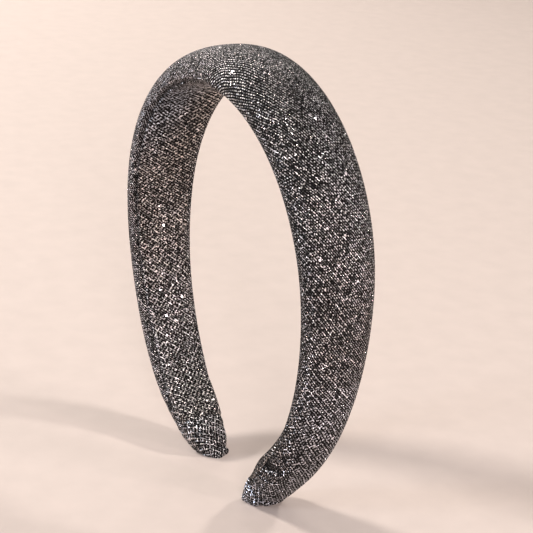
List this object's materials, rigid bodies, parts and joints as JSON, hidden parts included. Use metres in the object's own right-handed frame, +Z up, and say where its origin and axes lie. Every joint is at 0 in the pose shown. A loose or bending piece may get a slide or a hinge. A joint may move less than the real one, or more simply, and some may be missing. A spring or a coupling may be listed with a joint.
{
  "type": "padded headband",
  "caption": "Padded, cloth-covered headband: a crowned band bent into an open arch, wide at the top and tapering to two folded ends, with a facing strip inside.",
  "frame": {"origin": "on the floor, midway between the two ends and between the front and back edges", "axes": "+Z up through the top of the arch, +X towards the right end, +Y from the front edge to the back edge"},
  "size_m": [0.1344, 0.032, 0.1547],
  "materials": {
    "cover_cloth": "bias-cut weave of near-black yarn with silver metallic threads",
    "facing_cloth": "the same weave, laid flat",
    "tuck_cloth": "the same weave, gathered and folded"
  },
  "bodies": {
    "root": {"padded_cover": "cover_cloth", "inner_facing": "facing_cloth", "left_end_tuck": "tuck_cloth", "right_end_tuck": "tuck_cloth"}
  },
  "joints": []
}
